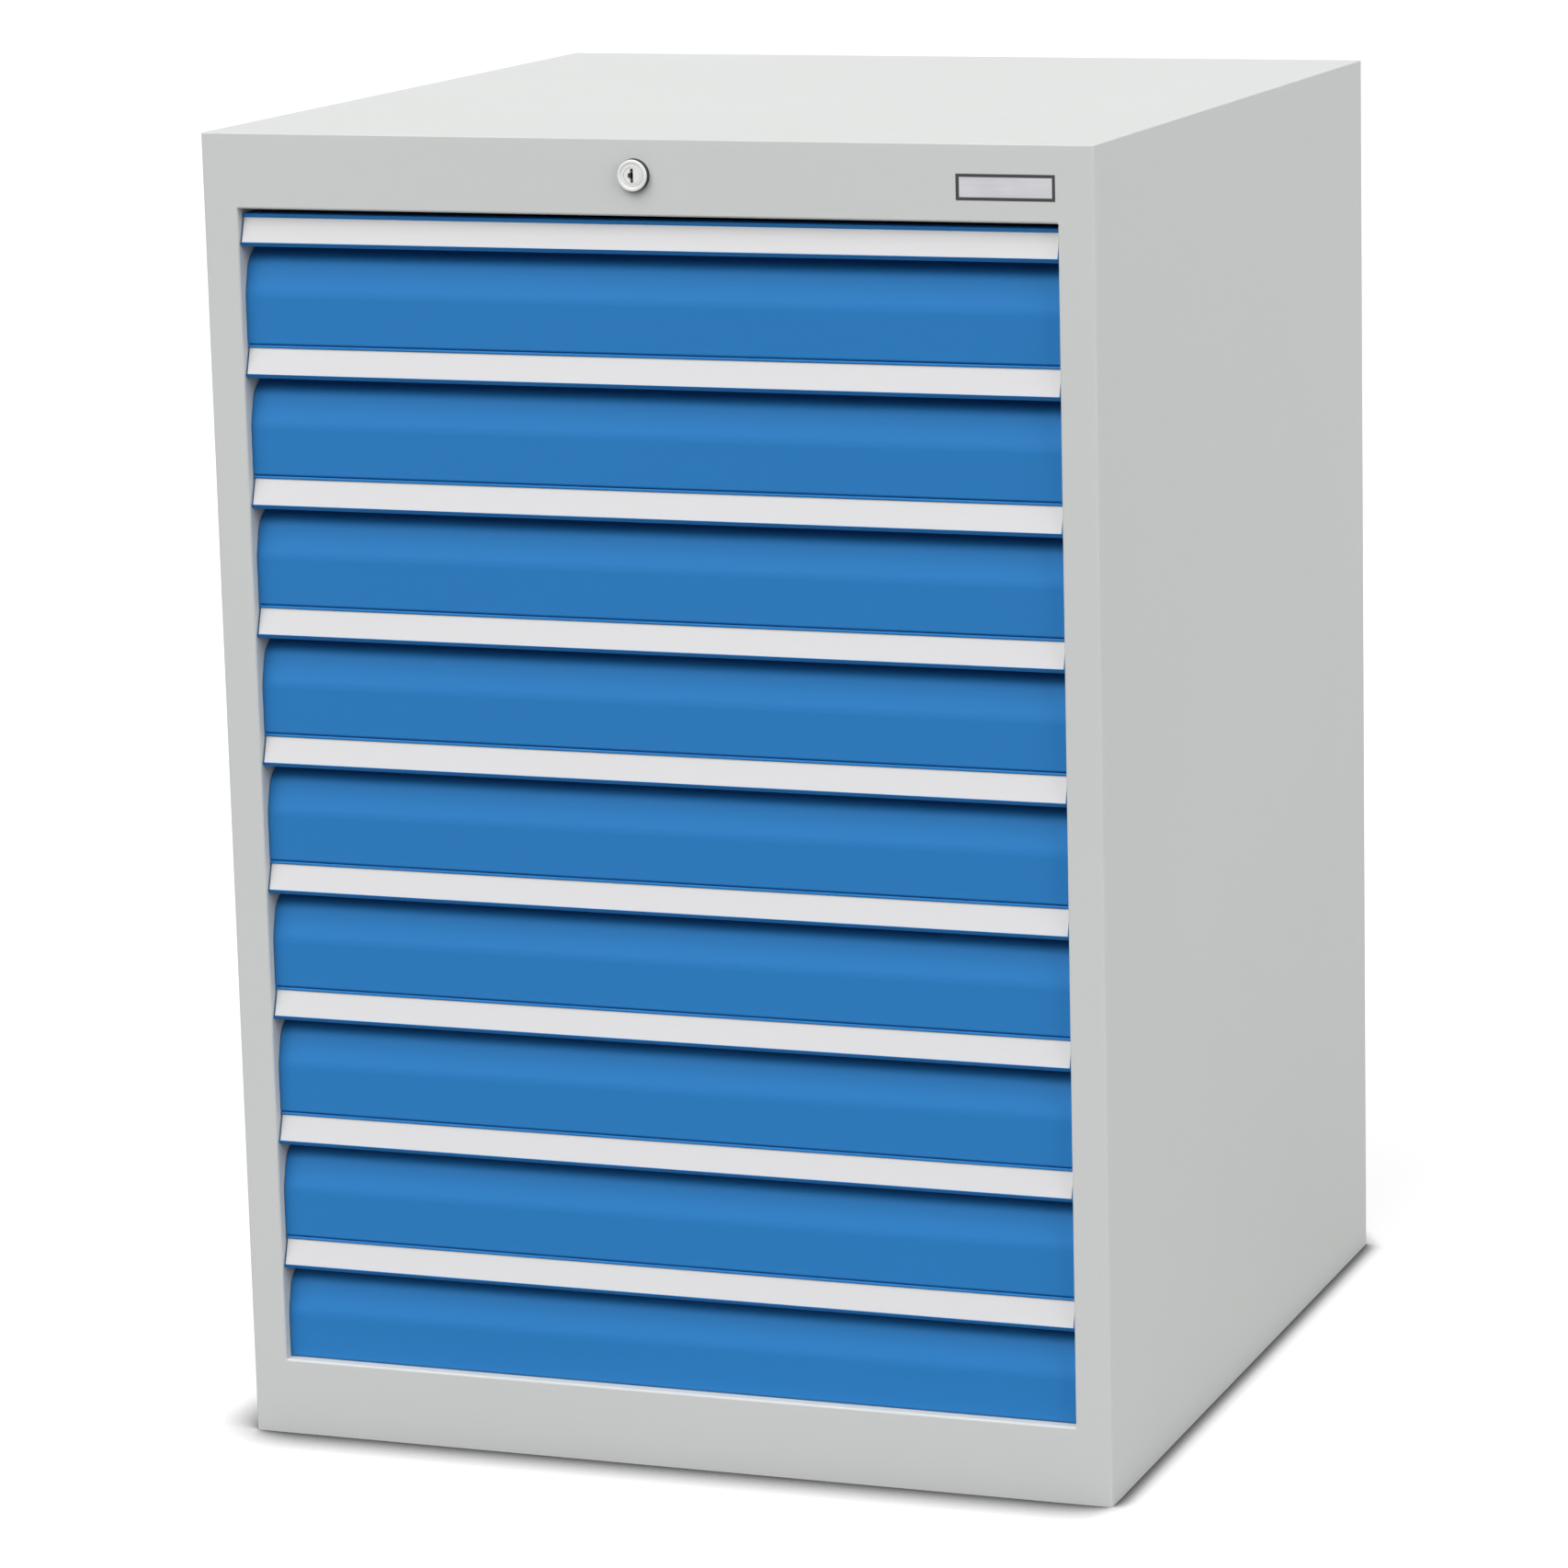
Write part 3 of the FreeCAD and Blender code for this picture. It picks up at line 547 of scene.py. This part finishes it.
finishes["zinc"] = lined("bright_zinc", ZINC, gloss=(0.26, 0.42), stretch=ALONG_Y, drift=METAL_DRIFT,
                         depth=0.000008, metallic=1.0)
finishes["lock_nickel"] = lined("satin_nickel", NICKEL, gloss=(0.60, 0.70), stretch=NO_STRETCH,
                                drift=METAL_DRIFT, depth=0.000004, metallic=1.0)
finishes["badge_plate"] = lined("brushed_plate", BRUSHED, gloss=(0.36, 0.48), stretch=ALONG_X,
                                drift=METAL_DRIFT, depth=0.000004, metallic=1.0)
print("metals", [finishes[slot].name for slot in ("zinc", "lock_nickel", "badge_plate")])

# %% [markdown]
# ### The black nylon
#
# The lock bar's guides are moulded nylon, and the painted shade pieces in the badge window and at the lock
# share the finish. A mould leaves an even fine grain, so the powder coat's group serves here too, at a
# smaller size.

# %% Black nylon
NYLON_BLACK = (0.022, 0.022, 0.022, 1.0)
GRAIN_DRIFT = 0.1
GRAIN_SIZE = 0.0006
GRAIN_SMOOTH = 0.5
GRAIN_ROUGH = 0.65
GRAIN_DEPTH = 0.00001


def nylon(name, colour):
    """Moulded nylon with a fine grain."""
    material, tree, shader, place = begin(name)
    grain = effect(tree, POWDER_COAT, {"Place": place, "Colour": colour, "Drift": GRAIN_DRIFT,
                                       "Peel Size": GRAIN_SIZE, "Gloss Low": GRAIN_SMOOTH,
                                       "Gloss High": GRAIN_ROUGH})
    surface(tree, shader, grain["Colour"], grain["Roughness"], grain["Height"], GRAIN_DEPTH)
    return material


finishes["guide_nylon"] = nylon("black_nylon", NYLON_BLACK)
print("finishes", sorted(finishes))

# %% [markdown]
# ## Dressing the fixed pieces
#
# The record says which finish each piece has. Only the material slot is changed: the mesh stays as it came.

# %% Dress the frame
for entry in record["subparts"]:
    mesh = nodes[entry["node"]].data
    mesh.materials.clear()
    mesh.materials.append(finishes[entry["material_slot"]])
print("dressed", len(record["subparts"]), "pieces")

# %% [markdown]
# ## Helpers for new pieces
#
# Every new piece is shaped in millimetres in a bmesh, which is Blender's own editable mesh, and is then
# scaled to metres. `finished` turns it into an object at the origin with its finish on, and says which body
# it moves with. Shading is smooth across bends and sharp across cut edges. Where a narrow bend meets a wide
# flat face, a plain average of their directions would make the flat face look bowed, so a Weighted Normal
# modifier lets the larger face decide.

# %% Piece helpers
SHARP = math.radians(32)
SAME = 0.001


def at(x, y, z):
    """A point in millimetres as a vector."""
    return Vector((x, y, z))


def finished(name, shape, slot, body):
    """A shape in millimetres as a dressed object that rides on a body."""
    bmesh.ops.scale(shape, vec=at(MM, MM, MM), verts=shape.verts)
    mesh = bpy.data.meshes.new(name)
    shape.to_mesh(mesh)
    shape.free()
    mesh.shade_smooth()
    mesh.set_sharp_from_angle(angle=SHARP)
    mesh.materials.append(finishes[slot])
    thing = bpy.data.objects.new(name, mesh)
    bpy.context.scene.collection.objects.link(thing)
    even = thing.modifiers.new("even_shading", "WEIGHTED_NORMAL")
    even.keep_sharp = True
    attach(thing, body)
    return thing


def block(shape, low, high):
    """A box between two corners, added to a shape. Its vertices are returned."""
    matrix = Matrix.Translation((low + high) / 2) @ Matrix.Diagonal((*(high - low), 1))
    return bmesh.ops.create_cube(shape, size=1.0, matrix=matrix)["verts"]


def verts_at(shape, points):
    """New vertices of a shape at points."""
    return [bmesh.ops.create_vert(shape, co=point)["vert"][0] for point in points]


def only_verts(parts):
    """The vertices among parts of a shape."""
    return [part for part in parts if isinstance(part, bmesh.types.BMVert)]


def edges_where(shape, test):
    """The edges whose two ends both pass a test."""
    return [edge for edge in shape.edges if all(test(v.co) for v in edge.verts)]


def round_edges(shape, edges, offset, steps):
    """Replace edges with a bend that starts an offset away from them."""
    bmesh.ops.bevel(shape, geom=edges, offset=offset, offset_type="OFFSET", segments=steps, profile=0.5,
                    affect="EDGES", material=-1)


def near(a, b):
    """Whether two lengths in millimetres are the same."""
    return abs(a - b) < SAME


FACE = FACE_Y / MM
LOCK = at(LOCK_X / MM, FACE, LOCK_Z / MM)
print("face at", round(FACE, 2), "mm, lock at", [round(v, 1) for v in LOCK])

# %% [markdown]
# ## The drawer fronts
#
# A front is one sheet of steel pressed in a brake: a foot turned in below, a flat panel, a scoop that leans
# back to make room for fingers, a deep hollow, and a lip that comes forward over it and carries the label
# strip. It could be carved from a block, but a sheet is what it is. So its section is drawn as a line of a
# few vertices, extruded to the drawer's width, bevelled at each fold with that fold's own radius, and then
# given its thickness. A fold of radius r that turns by an angle t starts r tan(t/2) from the corner, which
# is the distance that `bevel` calls its offset.

# %% Folded sheet
FOLD_STEP = 7.0
FEWEST_STEPS = 3


def fold(shape, point, radius, turn):
    """Round the crease that runs in x through a point, for a turn in radians."""
    crease = edges_where(shape, lambda co: near(co.y, point.y) and near(co.z, point.z))
    steps = max(FEWEST_STEPS, round(math.degrees(turn) / FOLD_STEP))
    round_edges(shape, crease, radius * math.tan(turn / 2), steps)


def folded_sheet(points, radii, thickness, half):
    """A sheet whose outer side follows points in a plane, from -half to half in x."""
    shape = bmesh.new()
    verts = verts_at(shape, points)
    line = [shape.edges.new(pair) for pair in zip(verts, verts[1:])]
    grown = bmesh.ops.extrude_edge_only(shape, edges=line)["geom"]
    bmesh.ops.translate(shape, vec=at(2 * half, 0, 0), verts=only_verts(grown))
    for before, point, after, radius in zip(points, points[1:], points[2:], radii):
        fold(shape, point, radius, (point - before).angle(after - point))
    bmesh.ops.solidify(shape, geom=shape.faces[:], thickness=thickness)
    return shape


print("fold step", FOLD_STEP, "degrees")

# %% [markdown]
# ### One front
#
# Setbacks run from the cabinet's face towards the back, and drops from the front's upper edge downwards. The
# foot comes down to a hair above the lip of the drawer below, so that the row reads as one blue wall. The lip
# has a bead over and under the label strip. The upper one is rounded like a hem. The lower one tucks back
# under the strip, so that only its edge catches light and the rest lies in shade.

# %% Drawer fronts
FRONT_SETBACKS = (24.0, 8.0, 8.0, 14.3, 28.0, 28.0, 10.85, 4.04)
FRONT_DROPS = (98.5, 98.5, 62.0, 37.5, 27.0, 2.0, 2.0, 24.0)
FRONT_RADII = (2.0, 30.0, 14.0, 4.0, 3.0, 2.5)
FRONT_SHEET = 1.0
FOOT_EXTRA = 2.25
LOWEST_FOOT_EXTRA = 0.3
END_EXTRA = 0.4
FRONT_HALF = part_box("drawer_front_1")[1].x / MM + END_EXTRA
UNDER_BEAD = (1.5, 4.5, 22.4, 25.6)
UNDER_TUCK = 2.6
UNDER_ROUND = 0.35
UNDER_STEPS = 3
OVER_BEAD = (7.5, 10.5, 1.0, 3.0)
OVER_BEAD_FIRST = (7.5, 10.5, 1.0, 4.1)
OVER_ROUND = 0.9
OVER_STEPS = 5


def bead(shape, top, setback_front, setback_rear, drop_top, drop_foot):
    """A bar along the whole lip, added to a shape: its two corners and its vertices."""
    low = at(-FRONT_HALF, FACE + setback_front, top - drop_foot)
    high = at(FRONT_HALF, FACE + setback_rear, top - drop_top)
    return low, high, block(shape, low, high)


def drawer_front(number):
    """The pressed front of one drawer."""
    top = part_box(f"drawer_front_{number}")[1].z / MM
    extra = FOOT_EXTRA if number < DRAWERS else LOWEST_FOOT_EXTRA
    points = [at(-FRONT_HALF, FACE + setback, top - drop)
              for setback, drop in zip(FRONT_SETBACKS, FRONT_DROPS)]
    for point in points[:2]:
        point.z -= extra
    shape = folded_sheet(points, FRONT_RADII, FRONT_SHEET, FRONT_HALF)
    low, high, bar = bead(shape, top, *UNDER_BEAD)
    tucked = [v for v in bar if near(v.co.y, low.y) and near(v.co.z, low.z)]
    bmesh.ops.translate(shape, vec=at(0, UNDER_TUCK, 0), verts=tucked)
    lip = edges_where(shape, lambda co: near(co.y, low.y) and near(co.z, high.z))
    round_edges(shape, lip, UNDER_ROUND, UNDER_STEPS)
    low, high, bar = bead(shape, top, *(OVER_BEAD_FIRST if number == 1 else OVER_BEAD))
    nose = edges_where(shape, lambda co: near(co.y, low.y) and (near(co.z, low.z) or near(co.z, high.z)))
    nose = [edge for edge in nose if near(edge.verts[0].co.z, edge.verts[1].co.z)]
    round_edges(shape, nose, OVER_ROUND, OVER_STEPS)
    piece = finished(f"pressed_front_{number}", shape, "front_blue", f"drawer_{number}")
    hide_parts(f"drawer_front_{number}")
    return piece


fronts = [drawer_front(number) for number in range(1, DRAWERS + 1)]
print("fronts", len(fronts), "faces each", len(fronts[0].data.polygons))

# %% [markdown]
# ## The lid
#
# The lid is a shallow pan that was folded with a sharp tool, so its upper edges are crisp, while its corners
# follow the rounder bends of the walls below it. A box without its floor is enough: the upright corners are
# rounded first, then the loop round the top, and the sheet's thickness grows inwards.

# %% Lid
LID_SHEET = 1.5
LID_EDGE = 0.9
LID_EDGE_STEPS = 3
CORNER_BEND = 2.5
CORNER_STEPS = 6


def lid():
    """The pan on top of the casing."""
    low, high = (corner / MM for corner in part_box("top_panel"))
    shape = bmesh.new()
    block(shape, low, high)
    floor_face = [face for face in shape.faces if all(near(v.co.z, low.z) for v in face.verts)]
    bmesh.ops.delete(shape, geom=floor_face, context="FACES_ONLY")
    upright = [edge for edge in shape.edges if not near(edge.verts[0].co.z, edge.verts[1].co.z)]
    round_edges(shape, upright, CORNER_BEND, CORNER_STEPS)
    loop = [edge for edge in edges_where(shape, lambda co: near(co.z, high.z)) if len(edge.link_faces) == 2]
    round_edges(shape, loop, LID_EDGE, LID_EDGE_STEPS)
    bmesh.ops.solidify(shape, geom=shape.faces[:], thickness=LID_SHEET)
    piece = finished("lid", shape, "body_grey", "casing")
    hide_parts("top_panel")
    return piece


lid_piece = lid()
print("lid", [round(v / MM, 2) for v in lid_piece.dimensions], "faces", len(lid_piece.data.polygons))

# %% [markdown]
# ## The badge window's painted shade
#
# The header has a window with a small blank plate behind it, and a dark frame fills the gap between the
# plate's raised middle and the window's edge, painted shade where that gap lies in shadow. It could be four
# thin bars. A frame is quicker: one quad, inset by the frame's width, its middle face deleted, and the rest
# extruded to a depth.

# %% Badge gap shade
GAP_SHADE_WIDTH = 2.4
GAP_SHADE_SETBACK = 0.20
GAP_SHADE_DEPTH = 0.6
BADGE_WINDOW = (75.5, 19.4)


def badge_gap_shade():
    """A thin dark frame in the header's badge window, painted shade for the gap round the plate."""
    low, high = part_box("badge_plate")
    middle = (low + high) / 2 / MM
    place = Matrix.Translation((middle.x, FACE + GAP_SHADE_SETBACK, middle.z))
    shape = bmesh.new()
    wide, tall = BADGE_WINDOW
    matrix = place @ Matrix.Rotation(math.radians(90), 4, "X") @ Matrix.Diagonal((wide, tall, 1, 1))
    bmesh.ops.create_grid(shape, x_segments=1, y_segments=1, size=0.5, matrix=matrix)
    pane = shape.faces[:]
    bmesh.ops.inset_region(shape, faces=pane, thickness=GAP_SHADE_WIDTH, depth=0.0, use_boundary=True,
                           use_even_offset=True)
    bmesh.ops.delete(shape, geom=pane, context="FACES")
    bmesh.ops.solidify(shape, geom=shape.faces[:], thickness=GAP_SHADE_DEPTH)
    return finished("badge_gap_shade", shape, "guide_nylon", "casing")


gap_shade = badge_gap_shade()
print("gap_shade", [round(v / MM, 2) for v in gap_shade.dimensions])

# %% [markdown]
# ## The lock's painted shade
#
# Behind the nickel face of the lock sits a black ring, painted shade for the side of the face, and deep
# in the key slot a dark filling paints the slot's shade. The ring is a turned part: a small closed section
# spun right round the lock's axis. The slot's filling is a box and a short round bar, sunk a little below
# the plug's face.

# %% Lock details
# Sizes of the black ring, painted shade round the side of the lock's face.
SHADE_RING_INNER = 11.6
SHADE_RING_OUTER = 11.95
SHADE_RING_FOOT = 12.4
SHADE_RING_DEPTH = 4.0
SPIN_STEPS = 64
KEY_SUNK = 1.1
KEY_DEEP = 7.0
KEY_WIDTH = 2.2
KEY_HEIGHT = 10.4
KEY_ROUND = 4.4
KEY_ROUND_OFFSET = 1.1
KEY_STEPS = 24
FIT = 0.02


def turned(shape, section, centre):
    """A closed section of (radius, depth) points spun round the lock's axis."""
    verts = verts_at(shape, [centre + at(radius, depth, 0) for radius, depth in section])
    ring = [shape.edges.new(pair) for pair in zip(verts, verts[1:] + verts[:1])]
    bmesh.ops.spin(shape, geom=verts + ring, cent=centre, axis=(0, 1, 0), angle=math.tau, steps=SPIN_STEPS,
                   use_merge=True)
    bmesh.ops.recalc_face_normals(shape, faces=shape.faces[:])


def lock_side_shade():
    """Black ring round the side of the lock's face, painted shade for that side."""
    shape = bmesh.new()
    section = [(SHADE_RING_INNER, 0), (SHADE_RING_INNER, -SHADE_RING_DEPTH),
               (SHADE_RING_OUTER, -SHADE_RING_DEPTH), (SHADE_RING_FOOT, 0)]
    turned(shape, section, LOCK)
    return finished("lock_side_shade", shape, "guide_nylon", "casing")


def key_slot_shade():
    """A dark filling in the depth of the key slot, painted shade."""
    face = plug_low.y / MM + KEY_SUNK
    shape = bmesh.new()
    half_wide = KEY_WIDTH / 2 - FIT
    half_tall = KEY_HEIGHT / 2 - FIT
    block(shape, at(LOCK.x - half_wide, face, LOCK.z - half_tall),
          at(LOCK.x + half_wide, face + KEY_DEEP, LOCK.z + half_tall))
    radius = KEY_ROUND / 2 - FIT
    place = Matrix.Translation((LOCK.x - KEY_ROUND_OFFSET, face + KEY_DEEP / 2, LOCK.z))
    bmesh.ops.create_cone(shape, cap_ends=True, segments=KEY_STEPS, radius1=radius, radius2=radius,
                          depth=KEY_DEEP, matrix=place @ Matrix.Rotation(math.radians(90), 4, "X"))
    return finished("key_slot_shade", shape, "guide_nylon", "lock_plug")


print("lock", lock_side_shade().name, key_slot_shade().name)

# %% [markdown]
# ## Rivets in the trays
#
# The slides and the fronts are held to the trays with rivets, whose low round heads show inside an open
# drawer. One head is a short curve of a few points spun round. The heads repeat many times, so each has
# only a few dozen faces. Every drawer's heads are one piece.

# %% Tray rivets
RIVET_CURVE = ((0.0, -0.2), (3.3, -0.2), (3.2, 0.5), (2.4, 1.2), (1.2, 1.55), (0.0, 1.65))
RIVET_STEPS = 14
RIVET_MERGE = 0.01
SLIDE_RIVETS_Y = (-285.0, -150.0, 20.0, 190.0, 250.0)
FRONT_RIVETS_X = (-270.0, -90.0, 90.0, 270.0)
SLIDE_RIVET_LIFT = 28.0
FRONT_RIVET_LIFTS = (22.0, 58.0)
TRAY_HALF = 313.3
TRAY_WALL = 1.0


def rivet_heads(places):
    """Domed heads at pairs of a place and the way it faces, as one shape."""
    shape = bmesh.new()
    verts = verts_at(shape, [at(radius, 0, rise) for radius, rise in RIVET_CURVE])
    curve = [shape.edges.new(pair) for pair in zip(verts, verts[1:])]
    bmesh.ops.spin(shape, geom=verts + curve, cent=(0, 0, 0), axis=(0, 0, 1), angle=math.tau,
                   steps=RIVET_STEPS, use_merge=True)
    bmesh.ops.remove_doubles(shape, verts=shape.verts, dist=RIVET_MERGE)
    bmesh.ops.recalc_face_normals(shape, faces=shape.faces[:])
    pattern = shape.verts[:] + shape.edges[:] + shape.faces[:]
    for place, outwards in places:
        turn = at(0, 0, 1).rotation_difference(outwards).to_matrix().to_4x4()
        copy = bmesh.ops.duplicate(shape, geom=pattern)["geom"]
        bmesh.ops.transform(shape, matrix=Matrix.Translation(place) @ turn, verts=only_verts(copy))
    bmesh.ops.delete(shape, geom=only_verts(pattern), context="VERTS")
    return shape


def tray_rivets(number):
    """The heads inside one drawer: along its slides and behind its front."""
    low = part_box(f"drawer_tray_{number}")[0] / MM
    wall = TRAY_HALF - TRAY_WALL
    places = [(at(side * wall, y, low.z + SLIDE_RIVET_LIFT), at(-side, 0, 0))
              for side in (-1, 1) for y in SLIDE_RIVETS_Y]
    places += [(at(x, low.y + TRAY_WALL, low.z + lift), at(0, 1, 0))
               for x in FRONT_RIVETS_X for lift in FRONT_RIVET_LIFTS]
    return finished(f"tray_rivets_{number}", rivet_heads(places), "zinc", f"drawer_{number}")


rivets = [tray_rivets(number) for number in range(1, DRAWERS + 1)]
print("rivets", len(rivets), "faces each", len(rivets[0].data.polygons))
